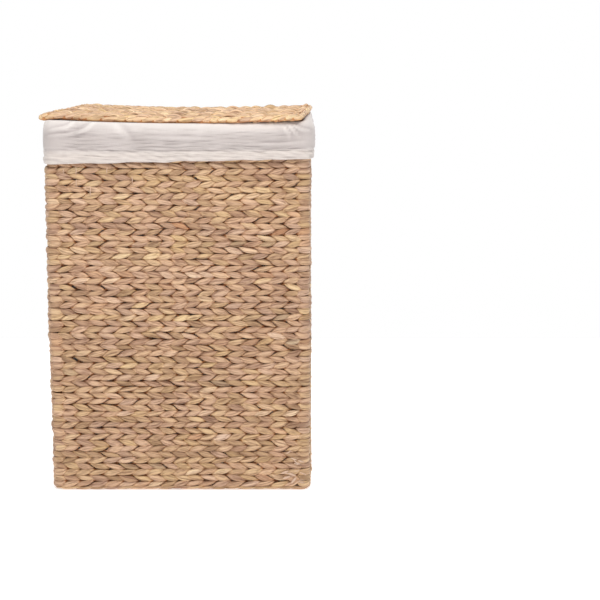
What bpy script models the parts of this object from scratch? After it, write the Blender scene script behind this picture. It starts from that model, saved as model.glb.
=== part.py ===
"""Tall woven laundry hamper: welded wire frame, twined wicker, cotton liner and a lift-off lid.

Metres, +Z up. The origin is on the floor under the middle of the hamper, and the front faces -Y.
The wicker is twined round upright steel stakes, which are welded between two rods and hidden in the weave.
The liner hangs inside, folds over the rim and ends in an elastic hem. The lid lies loose on the folded rim.
"""

import math

import bmesh
import bpy
from mathutils import Matrix

# Driving dimensions of the hamper
WIDTH = 0.440  # outside of the wicker along X
DEPTH = 0.340  # outside of the wicker along Y
RIM_HEIGHT = 0.628  # top of the wrapped rim
WALL = 0.013  # thickness of the twined wall
CORNER_RADIUS = 0.019  # outside corner of the wicker
WRAP_HEIGHT = 0.013  # height of the wrap round the top rod and round the bottom rod
GAP = 0.0003  # left between pieces that touch
ARC_STEPS = 4  # flats in each rounded corner

# Steel frame
ROD = 0.005  # diameter of the two rings and of the corner posts
ROD_HEIGHT = 0.006  # height of the bottom rod's axis; the top rod is as far below the rim
CHANNEL = 0.006  # width of the channel that a wrap leaves for its rod
CHANNEL_DEPTH = 0.010
STAKE = 0.002  # diameter of the weaving stakes
STAKE_PITCH = 0.0235
TIE = 0.0024  # side of the square wire that joins a set of stakes
HOLE = 0.0028  # hole that the weave leaves round a stake
ROD_SIDES = 10
STAKE_SIDES = 6

# Woven floor
FLOOR_LIFT = 0.0015  # underside of the mat above the floor
MAT = 0.009  # thickness of a woven mat

# Cotton liner
CLOTH = 0.0016  # stand-in thickness of the cloth
BAG_CLEARANCE = 0.0012  # between the bag and the inside of the wicker
HEM_BOTTOM = 0.557
HEM_HEIGHT = 0.013
HEM_THICKNESS = 0.0046
CUFF_CLEARANCE = 0.0006  # between the hem and the outside of the wicker
ELASTIC_HEIGHT = 0.008
ELASTIC_THICKNESS = 0.0012

# Lid
LID_WIDTH = 0.432
LID_DEPTH = 0.338
LID_THICKNESS = 0.010
LID_CORNER_RADIUS = 0.013
LID_BORDER = 0.010  # width of the wrap round the lid's rod
LID_ROD = 0.004
LID_TURN = math.radians(-3.3)  # the loose lid lies a little askew

RIM_UNDERSIDE = RIM_HEIGHT - WRAP_HEIGHT
FOLD_HEIGHT = RIM_HEIGHT + 0.0006  # underside of the cloth where it crosses the rim
LID_BOTTOM = FOLD_HEIGHT + CLOTH + GAP
CENTRE_X = WIDTH / 2 - WALL / 2
CENTRE_Y = DEPTH / 2 - WALL / 2
CENTRE_RADIUS = CORNER_RADIUS - WALL / 2


def clear_scene():
    for obj in list(bpy.data.objects):
        bpy.data.objects.remove(obj)


def collection(name):
    made = bpy.data.collections.new(name)
    bpy.context.scene.collection.children.link(made)
    return made


def material(name, colour, roughness, metallic):
    made = bpy.data.materials.new(name)
    made.use_nodes = True
    shader = made.node_tree.nodes["Principled BSDF"]
    shader.inputs["Base Color"].default_value = (*colour, 1.0)
    shader.inputs["Roughness"].default_value = roughness
    shader.inputs["Metallic"].default_value = metallic
    made.diffuse_color = (*colour, 1.0)
    return made


clear_scene()
PARTS = collection("laundry_hamper")
CUTTERS = collection("cutters")
# Finishes: linear colour, roughness and metallic value
WICKER = ((0.48, 0.29, 0.18), 0.75, 0.0)
STEEL = ((0.10, 0.09, 0.08), 0.5, 1.0)
COTTON = ((0.69, 0.61, 0.58), 0.9, 0.0)
ELASTIC = ((0.72, 0.72, 0.70), 0.8, 0.0)


# Small modelling helpers


def rounded_rectangle(half_x, half_y, radius):
    """Points of a rounded rectangle, counterclockwise, with an arc at each corner."""
    points = []
    for corner, (side_x, side_y) in enumerate(((1, 1), (-1, 1), (-1, -1), (1, -1))):
        for step in range(ARC_STEPS + 1):
            angle = math.pi / 2 * (corner + step / ARC_STEPS)
            x = side_x * (half_x - radius) + radius * math.cos(angle)
            y = side_y * (half_y - radius) + radius * math.sin(angle)
            points.append((x, y))
    return points


def add_object(name, data, where, finish=None):
    obj = bpy.data.objects.new(name, data)
    where.objects.link(obj)
    if finish:
        data.materials.append(material(name, *finish))
    if where is CUTTERS:
        obj.hide_render = True
        obj.display_type = "WIRE"
    return obj


def mesh_object(name, shape, where, finish=None):
    data = bpy.data.meshes.new(name)
    shape.to_mesh(data)
    shape.free()
    return add_object(name, data, where, finish)


def solidify(obj, thickness, side):
    """Gives an open surface its thickness: side 1 along its normals, -1 against them."""
    thick = obj.modifiers.new("thickness", "SOLIDIFY")
    thick.thickness = thickness
    thick.offset = side
    thick.use_even_offset = True
    return obj


def soften(obj, width):
    round_edges = obj.modifiers.new("rounded_edges", "BEVEL")
    round_edges.width = width
    round_edges.segments = 2
    round_edges.limit_method = "ANGLE"
    round_edges.angle_limit = math.radians(60)
    return obj


def boolean(obj, other, operation):
    step = obj.modifiers.new(other.name, "BOOLEAN")
    step.operation = operation
    step.solver = "EXACT"
    step.object = other
    return obj


def loft(name, loops, where, finish=None, floor=False):
    """An open surface through a stack of point loops. With floor set, the first loop is filled, facing down."""
    shape = bmesh.new()
    rows = [[shape.verts.new(point) for point in loop] for loop in loops]
    if floor:
        shape.faces.new(rows[0][::-1])
    for low, high in zip(rows, rows[1:]):
        for i in range(len(low)):
            j = (i + 1) % len(low)
            shape.faces.new((low[i], low[j], high[j], high[i]))
    return mesh_object(name, shape, where, finish)


def band(name, half_x, half_y, radius, low, high, thickness, where, finish=None):
    """A ring with a rectangular section, whose outer face follows a rounded rectangle."""
    outline = rounded_rectangle(half_x, half_y, radius)
    loops = [[(x, y, z) for x, y in outline] for z in (low, high)]
    return solidify(loft(name, loops, where, finish), thickness, -1)


def wall_band(name, offset, low, high, thickness, where, finish=None):
    """A band round the hamper whose outer face stands offset outside the wicker."""
    half_x, half_y = WIDTH / 2 + offset, DEPTH / 2 + offset
    return band(name, half_x, half_y, CORNER_RADIUS + offset, low, high, thickness, where, finish)


def plate(name, half_x, half_y, radius, low, thickness, where, finish=None):
    outline = [[(x, y, low) for x, y in rounded_rectangle(half_x, half_y, radius)]]
    return solidify(loft(name, outline, where, finish, floor=True), thickness, -1)


def rod_ring(name, half_x, half_y, radius, height, diameter):
    """A closed round rod bent to a rounded rectangle."""
    curve = bpy.data.curves.new(name, "CURVE")
    curve.dimensions = "3D"
    curve.bevel_depth = diameter / 2
    curve.bevel_resolution = 2
    curve.use_fill_caps = True
    outline = rounded_rectangle(half_x, half_y, radius)
    spline = curve.splines.new("POLY")
    spline.points.add(len(outline) - 1)
    for point, (x, y) in zip(spline.points, outline):
        point.co = (x, y, height, 1)
    spline.use_cyclic_u = True
    return add_object(name, curve, PARTS, STEEL)


def uprights(name, places, low, high, diameter, sides, where, finish=None):
    """One mesh of upright round rods, each standing at a place (x, y)."""
    shape = bmesh.new()
    for x, y in places:
        bmesh.ops.create_cone(
            shape,
            cap_ends=True,
            segments=sides,
            radius1=diameter / 2,
            radius2=diameter / 2,
            depth=high - low,
            matrix=Matrix.Translation((x, y, (low + high) / 2)),
        )
    return mesh_object(name, shape, where, finish)


def bar(name, length, low, where, finish=None):
    """A square tie wire along local X."""
    shape = bmesh.new()
    size = Matrix.Diagonal((length, TIE, TIE, 1))
    bmesh.ops.create_cube(shape, size=1, matrix=Matrix.Translation((0, 0, low + TIE / 2)) @ size)
    return mesh_object(name, shape, where, finish)


def stake_set(name, places, low, high):
    """A welded set in the local XZ plane: upright stakes at the places along X, and a tie wire at each end."""
    length = places[-1] - places[0] + 2 * TIE
    lower_tie = bar(name, length, low, PARTS, STEEL)
    stakes = uprights(
        name + "_rods",
        [(x, 0) for x in places],
        low + TIE / 2,
        high - TIE / 2,
        STAKE,
        STAKE_SIDES,
        CUTTERS,
    )
    upper_tie = bar(name + "_upper_tie", length, high - TIE, CUTTERS)
    for helper in (stakes, upper_tie):
        helper.parent = lower_tie
        boolean(lower_tie, helper, "UNION")
    return lower_tie


def spread(half_length):
    """Stake places along one side, at an even pitch near STAKE_PITCH, with a post or an edge at both ends."""
    intervals = round(2 * half_length / STAKE_PITCH)
    pitch = 2 * half_length / intervals
    return [-half_length + pitch * i for i in range(1, intervals)]


# Steel frame inside the wicker


def post_places():
    """The middle of each rounded corner of the wall."""
    reach = CENTRE_RADIUS * (1 - math.cos(math.pi / 4))
    x, y = CENTRE_X - reach, CENTRE_Y - reach
    return {"front_left": (-x, -y), "front_right": (x, -y), "back_left": (-x, y), "back_right": (x, y)}


def frame():
    top = RIM_HEIGHT - ROD_HEIGHT
    rod_ring("frame_bottom_ring", CENTRE_X, CENTRE_Y, CENTRE_RADIUS, ROD_HEIGHT, ROD)
    rod_ring("frame_top_ring", CENTRE_X, CENTRE_Y, CENTRE_RADIUS, top, ROD)
    post_low = ROD_HEIGHT + ROD / 2 + GAP
    for corner, place in post_places().items():
        name = "corner_post_" + corner
        uprights(name, [place], post_low, top - ROD / 2 - GAP, ROD, ROD_SIDES, PARTS, STEEL)
    low, high = post_low, top - ROD / 2 - GAP
    for name, half, place, turn in (
        ("front_stakes", CENTRE_X, (0, -CENTRE_Y), 0),
        ("back_stakes", CENTRE_X, (0, CENTRE_Y), 0),
        ("left_stakes", CENTRE_Y, (-CENTRE_X, 0), math.pi / 2),
        ("right_stakes", CENTRE_Y, (CENTRE_X, 0), math.pi / 2),
    ):
        stakes = stake_set(name, spread(half), low, high)
        stakes.location = (*place, 0)
        stakes.rotation_euler = (0, 0, turn)


# Wicker body


def stake_holes():
    places = []
    for x in spread(CENTRE_X):
        places += [(x, -CENTRE_Y), (x, CENTRE_Y)]
    for y in spread(CENTRE_Y):
        places += [(-CENTRE_X, y), (CENTRE_X, y)]
    return places


def wicker_body():
    low, high = WRAP_HEIGHT + GAP, RIM_UNDERSIDE - GAP
    wall = wall_band("woven_wall", 0, low, high, WALL, PARTS, WICKER)
    past = 0.005
    holes = uprights(
        "stake_holes", stake_holes(), low - past, high + past, HOLE, STAKE_SIDES, CUTTERS
    )
    post_holes = uprights(
        "post_holes",
        list(post_places().values()),
        low - past,
        high + past,
        ROD + 2 * GAP,
        ROD_SIDES,
        CUTTERS,
    )
    boolean(wall, holes, "DIFFERENCE")
    boolean(wall, post_holes, "DIFFERENCE")

    inset = (WALL - CHANNEL) / 2
    for name, bottom, channel_low in (
        ("base_wrap", 0, WRAP_HEIGHT - CHANNEL_DEPTH),
        ("rim_wrap", RIM_UNDERSIDE, RIM_UNDERSIDE - past),
    ):
        wrap = wall_band(name, 0, bottom, bottom + WRAP_HEIGHT, WALL, PARTS, WICKER)
        soften(wrap, 0.003)
        channel_high = channel_low + CHANNEL_DEPTH + past
        channel = wall_band(
            name + "_channel", -inset, channel_low, channel_high, CHANNEL, CUTTERS
        )
        boolean(wrap, channel, "DIFFERENCE")


def woven_floor():
    """The floor mat, twined round stakes that run front to back and meet the base wrap."""
    inside_x, inside_y = WIDTH / 2 - WALL - GAP, DEPTH / 2 - WALL - GAP
    half_y = inside_y - TIE - 2 * GAP
    mat = plate(
        "floor_mat", inside_x, half_y, CORNER_RADIUS - WALL, FLOOR_LIFT, MAT, PARTS, WICKER
    )
    lay_stakes_in(mat, "floor_stakes", spread(inside_x), inside_y, FLOOR_LIFT + MAT / 2)


def lay_stakes_in(mat, name, places, half_length, height):
    """Puts a stake set flat through a mat, front to back, and cuts its holes."""
    flat = (math.pi / 2, 0, 0)
    stakes = stake_set(name, places, -half_length, half_length)
    stakes.location = (0, 0, height)
    stakes.rotation_euler = flat
    holes = uprights(
        name + "_holes",
        [(x, 0) for x in places],
        -half_length - TIE,
        half_length + TIE,
        HOLE,
        STAKE_SIDES,
        CUTTERS,
    )
    holes.location = (0, 0, height)
    holes.rotation_euler = flat
    boolean(mat, holes, "DIFFERENCE")
    return stakes, holes


# Cotton liner


def liner():
    """The bag's surface facing the wicker: floor, walls, fold over the rim and cuff. The cloth lies on its far side."""
    inner = -WALL - BAG_CLEARANCE
    floor_height = FLOOR_LIFT + MAT + 2 * GAP
    hem_top = HEM_BOTTOM + HEM_HEIGHT
    section = (
        (inner - 0.004, floor_height),
        (inner, floor_height + 0.004),
        (inner, RIM_HEIGHT - 0.0030),
        (inner + 0.0014, RIM_HEIGHT - 0.0002),
        (inner + 0.0042, FOLD_HEIGHT),
        (-0.0030, FOLD_HEIGHT),
        (-0.0002, RIM_HEIGHT - 0.0002),
        (0.0008, RIM_HEIGHT - 0.0030),
        (0.0028, RIM_HEIGHT - 0.022),
        (0.0034, RIM_HEIGHT - 0.038),
        (0.0022, hem_top + 0.006),
        (0.0016, hem_top + GAP),
    )
    loops = []
    for offset, z in section:
        radius = max(CORNER_RADIUS + offset, 0.0045)
        outline = rounded_rectangle(WIDTH / 2 + offset, DEPTH / 2 + offset, radius)
        loops.append([(x, y, z) for x, y in outline])
    solidify(loft("liner_bag", loops, PARTS, COTTON, floor=True), CLOTH, -1)

    outer = CUFF_CLEARANCE + HEM_THICKNESS
    hem = wall_band("liner_hem", outer, HEM_BOTTOM, hem_top, HEM_THICKNESS, PARTS, COTTON)
    room = 0.0003
    depth = ELASTIC_THICKNESS + 2 * room
    offset = outer - (HEM_THICKNESS - depth) / 2
    low = HEM_BOTTOM + (HEM_HEIGHT - ELASTIC_HEIGHT) / 2
    tunnel = wall_band("hem_tunnel", offset, low - room, hem_top + 0.005, depth, CUTTERS)
    boolean(hem, tunnel, "DIFFERENCE")
    high = low + ELASTIC_HEIGHT
    wall_band("hem_elastic", offset - room, low, high, ELASTIC_THICKNESS, PARTS, ELASTIC)


# Lift-off lid


def lid():
    """A flat mat on its own rod frame. Every piece is laid straight, then the whole lid turns with its empty."""
    half_x, half_y = LID_WIDTH / 2, LID_DEPTH / 2
    top = LID_BOTTOM + LID_THICKNESS
    middle = (LID_BOTTOM + top) / 2

    rod_inset = LID_BORDER / 2
    ring_radius = LID_CORNER_RADIUS - rod_inset
    ring = rod_ring(
        "lid_ring", half_x - rod_inset, half_y - rod_inset, ring_radius, middle, LID_ROD
    )
    border = band(
        "lid_border",
        half_x,
        half_y,
        LID_CORNER_RADIUS,
        LID_BOTTOM,
        top,
        LID_BORDER,
        PARTS,
        WICKER,
    )
    soften(border, 0.0022)
    # The channel for the rod opens towards the mat.
    channel_half = LID_ROD / 2 + 0.0005
    skin = rod_inset - channel_half
    channel = band(
        "lid_border_channel",
        half_x - skin,
        half_y - skin,
        LID_CORNER_RADIUS - skin,
        middle - channel_half,
        middle + channel_half,
        LID_BORDER - skin + 0.001,
        CUTTERS,
    )
    boolean(border, channel, "DIFFERENCE")

    inset = LID_BORDER + GAP
    mat_radius = LID_CORNER_RADIUS - LID_BORDER
    mat = plate(
        "lid_mat", half_x - inset, half_y - inset, mat_radius, middle - MAT / 2, MAT, PARTS, WICKER
    )
    reach = half_y - rod_inset - LID_ROD / 2 - GAP
    stakes, holes = lay_stakes_in(mat, "lid_stakes", spread(half_x - inset), reach, middle)

    axis = bpy.data.objects.new("lid_axis", None)
    PARTS.objects.link(axis)
    for piece in (ring, border, channel, mat, stakes, holes):
        piece.parent = axis
    axis.rotation_euler = (0, 0, LID_TURN)


frame()
wicker_body()
woven_floor()
liner()
lid()
for part in PARTS.objects:
    if part.type == "MESH":
        part.data.set_sharp_from_angle(angle=math.radians(35))
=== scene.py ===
"""Looks for the tall woven laundry basket: twined plant strands, a cotton liner and a loose woven lid."""

import math

import bmesh
import bpy
import numpy as np
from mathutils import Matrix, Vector


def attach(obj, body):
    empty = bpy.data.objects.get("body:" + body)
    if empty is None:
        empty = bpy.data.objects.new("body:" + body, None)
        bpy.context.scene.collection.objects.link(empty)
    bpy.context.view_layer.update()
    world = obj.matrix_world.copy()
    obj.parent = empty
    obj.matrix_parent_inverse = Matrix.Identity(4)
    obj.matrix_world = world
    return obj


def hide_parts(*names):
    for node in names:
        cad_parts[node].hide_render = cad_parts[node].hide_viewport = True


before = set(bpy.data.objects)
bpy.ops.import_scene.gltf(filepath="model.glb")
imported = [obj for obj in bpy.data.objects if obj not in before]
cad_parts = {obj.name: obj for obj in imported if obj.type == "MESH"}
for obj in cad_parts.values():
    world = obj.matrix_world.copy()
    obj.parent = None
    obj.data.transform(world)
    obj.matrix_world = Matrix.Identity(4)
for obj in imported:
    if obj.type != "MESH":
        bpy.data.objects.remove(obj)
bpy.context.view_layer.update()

TAU = 2 * math.pi

# The basket, in metres, in the frame of the CAD
HALF_X, HALF_Y = 0.220, 0.170  # outside of the wicker
WALL = 0.013
CORNER = 0.019  # radius at the outside
RIM = 0.628
CENTRE_X, CENTRE_Y = HALF_X - WALL / 2, HALF_Y - WALL / 2
CENTRE_RADIUS = CORNER - WALL / 2
STAKES_X, STAKES_Y = 18, 14  # stake intervals along the front and along a side
ROWS_LOW, ROWS_HIGH = 0.0058, 0.6150
ROWS, ROWS_IN_PIECE = 59, 4
FLOOR_ROWS, FLOOR_MIDDLE = 29, 0.0060
SAG = 0.0050  # how far the middle of the rim and of the lid hangs below their ends
ROD_RADIUS, ROD_BELOW_RIM = 0.0025, 0.0060
LID_ROD_RADIUS, STAKE_RADIUS = 0.0018, 0.0010
LID_HALF_X, LID_HALF_Y = 0.216, 0.169
LID_MIDDLE = (0.6305 + 0.6405) / 2  # between its lower and upper face
LID_ROWS = 31
LID_TURN = math.radians(-3.3)  # it lies slightly turned
LID_EDGE_TURNS, LID_EDGE_TILT = 94, math.radians(38)
BAG_FLOOR = 0.0128
ROW_JITTER, ROW_WANDER = 0.0003, 0.0006  # how far a row's boundary is off, and how far it wanders
WIRE_SIDES, FIBRE_SIDES = 10, 6
LINER_COLUMNS = 400


# Noise and mesh helpers


def smoothstep(low, high, x):
    t = np.clip((x - low) / (high - low), 0, 1)
    return t * t * (3 - 2 * t)


def waves(rng, t, count, low, high):
    """Smooth noise about 0 with unit spread, periodic where t goes from 0 to 1."""
    total = np.zeros_like(t)
    for _ in range(count):
        turns = rng.integers(low, high + 1)
        total += np.sin(TAU * (turns * t + rng.random()))
    return total * math.sqrt(2 / count)


def field(rng, u, v, count, scale_u, scale_v):
    """Smooth noise over a surface, about 0 with unit spread; the scales are typical lengths of its waves."""
    total = np.zeros(np.broadcast(u, v).shape)
    for _ in range(count):
        along = rng.normal() / scale_u
        across = rng.normal() / scale_v
        total += np.sin(TAU * (u * along + v * across + rng.random()))
    return total * math.sqrt(2 / count)


def sag(x):
    """How far the rim and the lid hang down between their ends."""
    return SAG * np.clip(1 - ((x - 0.020) / 0.215) ** 2, 0, 1)


def rim_share(z):
    """How much of the rim's sag reaches a height: all at the rim, and none far below it."""
    return smoothstep(0.42, 0.625, z)


def turned(x, y, angle):
    """x and y, turned about the vertical axis."""
    c, s = math.cos(angle), math.sin(angle)
    return c * x - s * y, s * x + c * y


def across_strand(along, normal):
    """Unit vectors square to a strand: outward, and sideways on the surface."""
    along = along / np.linalg.norm(along, axis=1, keepdims=True)
    out = normal - (normal * along).sum(1, keepdims=True) * along
    out /= np.linalg.norm(out, axis=1, keepdims=True)
    return out, np.cross(out, along)


def closed_steps(points):
    """The direction of a closed path at each of its points."""
    return np.roll(points, -1, 0) - np.roll(points, 1, 0)


def tube(centre, side, out, across, high):
    """Rings of points round a path: how far each lies sideways and outward of the path."""
    return centre[:, None] + side[:, None] * across[..., None] + out[:, None] * high[..., None]


def on_grid(shape, *values):
    """One vector for each point of a grid, from three values that are spread over it."""
    return np.stack([np.broadcast_to(value, shape) for value in values], axis=-1).reshape(-1, 3)


def make_mesh(name, points, quads, attributes, finish):
    """A smooth mesh of quads, with float-vector attributes on its points."""
    data = bpy.data.meshes.new(name)
    data.from_pydata(points, [], quads)
    for key, values in attributes.items():
        layer = data.attributes.new(key, "FLOAT_VECTOR", "POINT")
        layer.data.foreach_set("vector", np.ascontiguousarray(values, np.float32).ravel())
    data.polygons.foreach_set("use_smooth", np.ones(len(data.polygons), bool))
    data.materials.append(finish)
    data.update()
    obj = bpy.data.objects.new(name, data)
    bpy.context.scene.collection.objects.link(obj)
    return obj


def grid_quads(rings, sides, closed_rings, closed_sides=True):
    """Quads of a grid of rings by sides."""
    i = np.arange(rings if closed_rings else rings - 1)
    j = np.arange(sides if closed_sides else sides - 1)
    i, j = (a.ravel() for a in np.meshgrid(i, j, indexing="ij"))
    i2, j2 = (i + 1) % rings, (j + 1) % sides
    return np.stack([i * sides + j, i2 * sides + j, i2 * sides + j2, i * sides + j2], axis=1)


class Bundle:
    """Collects strands and builds them as one mesh."""

    def __init__(self):
        self.points, self.quads, self.looks, self.places = [], [], [], []
        self.count = 0

    def add(self, rings, closed, looks, places):
        """Adds a tube of rings, with its tone, hue and how far out it lies, and its places in the fibre."""
        self.points.append(rings.reshape(-1, 3))
        self.quads.append(grid_quads(*rings.shape[:2], closed) + self.count)
        self.looks.append(looks)
        self.places.append(places)
        self.count += rings.shape[0] * rings.shape[1]

    def build(self, name, finish):
        points, quads = np.concatenate(self.points), np.concatenate(self.quads)
        attributes = {"look": np.concatenate(self.looks), "fibre": np.concatenate(self.places)}
        return make_mesh(name, points, quads, attributes, finish)


# Paths that strands follow


def rounded_path(half_x, half_y, radius):
    """A rounded rectangle, from the middle of its front-left corner.

    Returns its length and a function that gives the points and normals at distances along it.
    """
    run_x, run_y = 2 * (half_x - radius), 2 * (half_y - radius)
    arc = math.pi / 2 * radius
    lengths = [arc / 2, run_x, arc, run_y, arc, run_x, arc, run_y, arc / 2]
    starts = np.concatenate([[0], np.cumsum(lengths)])
    total = starts[-1]
    cx, cy = half_x - radius, half_y - radius
    arcs = {0: (-cx, -cy, 225), 2: (cx, -cy, 270), 4: (cx, cy, 0), 6: (-cx, cy, 90), 8: (-cx, -cy, 180)}
    runs = {1: (-cx, -half_y, 1, 0), 3: (half_x, -cy, 0, 1), 5: (cx, half_y, -1, 0), 7: (-half_x, cy, 0, -1)}

    def at(s):
        s = np.mod(s, total)
        part = np.clip(np.searchsorted(starts, s, side="right") - 1, 0, 8)
        x, y, nx, ny = (np.zeros_like(s) for _ in range(4))
        for k in range(9):
            m = part == k
            d = s[m] - starts[k]
            if k in arcs:
                ax, ay, degrees = arcs[k]
                angle = math.radians(degrees) + d / radius
                nx[m], ny[m] = np.cos(angle), np.sin(angle)
                x[m], y[m] = ax + radius * nx[m], ay + radius * ny[m]
            else:
                ax, ay, dx, dy = runs[k]
                nx[m], ny[m] = dy, -dx
                x[m], y[m] = ax + d * dx, ay + d * dy
        return x, y, nx, ny

    return total, at


def wall_stations():
    """Distances along the wall's middle line of the posts and stakes, with the whole length at the end."""
    run_x, run_y = 2 * (CENTRE_X - CENTRE_RADIUS), 2 * (CENTRE_Y - CENTRE_RADIUS)
    arc = math.pi / 2 * CENTRE_RADIUS
    places, start = [], 0
    for run, half, count in (
        (run_x, CENTRE_X, STAKES_X),
        (run_y, CENTRE_Y, STAKES_Y),
        (run_x, CENTRE_X, STAKES_X),
        (run_y, CENTRE_Y, STAKES_Y),
    ):
        places.append(start)
        for k in range(1, count):
            places.append(start + arc / 2 + 2 * half * k / count - CENTRE_RADIUS)
        start += arc + run
    return np.array(places + [start])


# Twined strands


def row_edges(rng, low, high, rows, turns, jitter, wander):
    """The boundaries between rows, which wander a little; each row fills the height between two of them."""
    edges = np.linspace(low, high, rows + 1)[:, None] * np.ones(len(turns))
    for k in range(1, rows):
        edges[k] += rng.normal(0, jitter) + wander * waves(rng, turns, 6, 2, 14)
    return edges


# Height of a strand's upper edge in its row, from one back pass to the next. 0 is the middle of its front
# pass and 1 of its back pass, in stakes; heights are shares of half a row. The lower edge is the same shape
# turned half round, so each front pass is a leaf that starts low, ends high and overlaps its neighbours.
EDGE_AT = (-1.00, -0.86, -0.74, -0.62, -0.50, -0.35, -0.20, -0.05, 0.10, 0.25, 0.42, 0.60, 0.74, 1.00)
EDGE_HEIGHT = (1.00, 0.25, -0.60, -0.36, 0.04, 0.40, 0.67, 0.84, 0.94, 1.00, 1.00, 0.93, 0.82, 1.00)
# Where a strand goes from the front to the back, in stakes from the middle of its front pass
FRONT_PASS = 0.64


class Weave:
    """The sizes of one twined fabric.

    swing is how far a strand moves in depth, row_half its half height in the row, and front_deep and
    cross_deep are its half thickness in the middle of a pass and at a crossing. Where full is above 0
    the passes taper less, up to straight edges at 1. uneven is how much the passes differ in depth.
    """

    def __init__(self, swing, row_half, front_deep, cross_deep, sides, samples, full=0.0, uneven=0.08):
        self.swing, self.row_half, self.full, self.uneven = swing, row_half, full, uneven
        self.front_deep, self.cross_deep = front_deep, cross_deep
        self.sides, self.samples = sides, samples


def lobe_values(rng, count, t, spread):
    """A random value for each crossing to crossing stretch of a strand, eased from one to the next."""
    values = rng.normal(0, spread, count)
    place = np.mod(t, count)
    low = np.floor(place).astype(int) % count
    f = place - np.floor(place)
    f = f * f * (3 - 2 * f)
    return values[low] * (1 - f) + values[(low + 1) % count] * f


def rounded(a, power):
    """Shares from -1 to 1, pushed outward, which squares a round section a little."""
    return np.sign(a) * np.abs(a) ** power


def tone_of(rng, count, t, offset):
    """Tone and hue along a strand: spliced stems, each with its own colour, and a change at each lobe."""
    tone, hue = np.zeros(count), np.zeros(count)
    at = 0
    while at < count:
        stem = rng.integers(5, 26)
        tone[at : at + stem] = rng.normal(0.5, 0.10)
        hue[at : at + stem] = rng.normal(0.46, 0.12)
        at += stem
    tone += rng.normal(0, 0.16, count)
    hue = np.clip(hue + rng.normal(0, 0.11, count), 0, 1)
    # A visible lobe is about two stations long, centred where its strand is in front.
    lobe = np.floor((t - offset) / 2 + 0.5).astype(int) * 2
    index = np.mod(lobe + int(round(offset)), count)
    return tone[index], hue[index]


def twined(bundle, rng, weave, t, phase, lean, place, closed):
    """One strand of a twined row.

    t counts stakes along the row, phase is 0 or 1 for its two strands, and lean is +1 or -1.
    place gives the point and the outward normal at t, at a depth and a height in the row.
    """
    count = int(round(t[-1])) + 1
    drift = 0.05 * waves(rng, t / count, 4, 1, 6)
    pass_at = np.mod(t + phase + drift + 1, 2) - 1
    away = np.abs(pass_at)
    turned = np.where(away < FRONT_PASS, away / FRONT_PASS, 1 + (away - FRONT_PASS) / (1 - FRONT_PASS)) / 2
    swung = np.cos(math.pi * turned)
    front = rounded(swung, 0.8)
    stretched = pass_at * (1 + lobe_values(rng, count, t, 0.08))
    top, low = (np.interp(np.clip(turn * stretched, -1, 1), EDGE_AT, EDGE_HEIGHT) for turn in (1, -1))
    top, bottom = 1 - (1 - top) * (1 - weave.full), (1 - low) * (1 - weave.full) - 1
    if lean < 0:
        top, bottom = -bottom, -top
    row = weave.row_half * (1 + lobe_values(rng, count, t, 0.09))
    tilt = 0.08 * weave.row_half * lobe_values(rng, count, t, 1.0)
    rise, half = (top + bottom) / 2 * row + tilt, (top - bottom) / 2 * row
    deep = weave.cross_deep + (weave.front_deep - weave.cross_deep) * np.abs(swung)
    deep = deep * (1 + lobe_values(rng, count, t, 0.05))
    depth = weave.swing * front * (1 + lobe_values(rng, count, t, weave.uneven))
    centre, normal = place(t, depth, rise)
    along = np.gradient(centre, axis=0)
    if closed:
        along[0] = along[-1] = (centre[1] - centre[-1]) / 2
    out, side = across_strand(along, normal)
    around = TAU * np.arange(weave.sides) / weave.sides
    wide, thick = rounded(np.cos(around), 0.85), rounded(np.sin(around), 0.85)
    ridge = 1 + 0.05 * rng.normal(size=weave.sides)
    points = tube(centre, side, out, half[:, None] * wide * ridge, deep[:, None] * thick * ridge)
    if not closed:  # taper the ends
        for end in (0, -1):
            points[end] = centre[end] + (points[end] - centre[end]) * 0.2
    reach = weave.swing + weave.front_deep
    # How far out each point lies, which sets the painted shade in the crevices
    depth_for_shade = (np.abs(depth)[:, None] + np.sign(front)[:, None] * deep[:, None] * thick) / reach
    tone, hue = tone_of(rng, count, t, -phase)
    looks = on_grid(depth_for_shade.shape, tone[:, None], hue[:, None], depth_for_shade)
    gone = np.concatenate([[0], np.cumsum(np.linalg.norm(np.diff(centre, axis=0), axis=1))])
    start = rng.random(3) * 7
    fibres = on_grid(
        depth_for_shade.shape,
        (gone + start[0])[:, None],
        half[:, None] * wide + start[1],
        0.7 * half[:, None] * thick + start[2],
    )
    bundle.add(points, closed, looks, fibres)


# Materials


def feed(links, socket, value):
    """Links a socket to another, or sets it to a number or a colour."""
    if isinstance(value, bpy.types.NodeSocket):
        links.new(value, socket)
    elif isinstance(value, tuple):
        socket.default_value = (*value, 1)
    else:
        socket.default_value = value


def ramp(nodes, links, value, stops):
    node = nodes.new("ShaderNodeValToRGB")
    elements = node.color_ramp.elements
    while len(elements) < len(stops):
        elements.new(0.5)
    for element, (position, colour) in zip(elements, stops):
        element.position = position
        element.color = (*colour, 1)
    links.new(value, node.inputs[0])
    return node.outputs[0]


def mix_colour(nodes, links, factor, a, b, mode="MIX"):
    node = nodes.new("ShaderNodeMix")
    node.data_type = "RGBA"
    node.blend_type = mode
    for socket, value in ((node.inputs["Factor"], factor), (node.inputs[6], a), (node.inputs[7], b)):
        feed(links, socket, value)
    return node.outputs[2]


def maths(nodes, links, operation, *values):
    node = nodes.new("ShaderNodeMath")
    node.operation = operation
    for socket, value in zip(node.inputs, values):
        feed(links, socket, value)
    return node.outputs[0]


def attribute(nodes, name):
    node = nodes.new("ShaderNodeAttribute")
    node.attribute_name = name
    return node.outputs["Vector"]


def split_look(nodes, links):
    """The three values of a mesh's look."""
    node = nodes.new("ShaderNodeSeparateXYZ")
    links.new(attribute(nodes, "look"), node.inputs[0])
    return node.outputs["X"], node.outputs["Y"], node.outputs["Z"]


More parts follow.
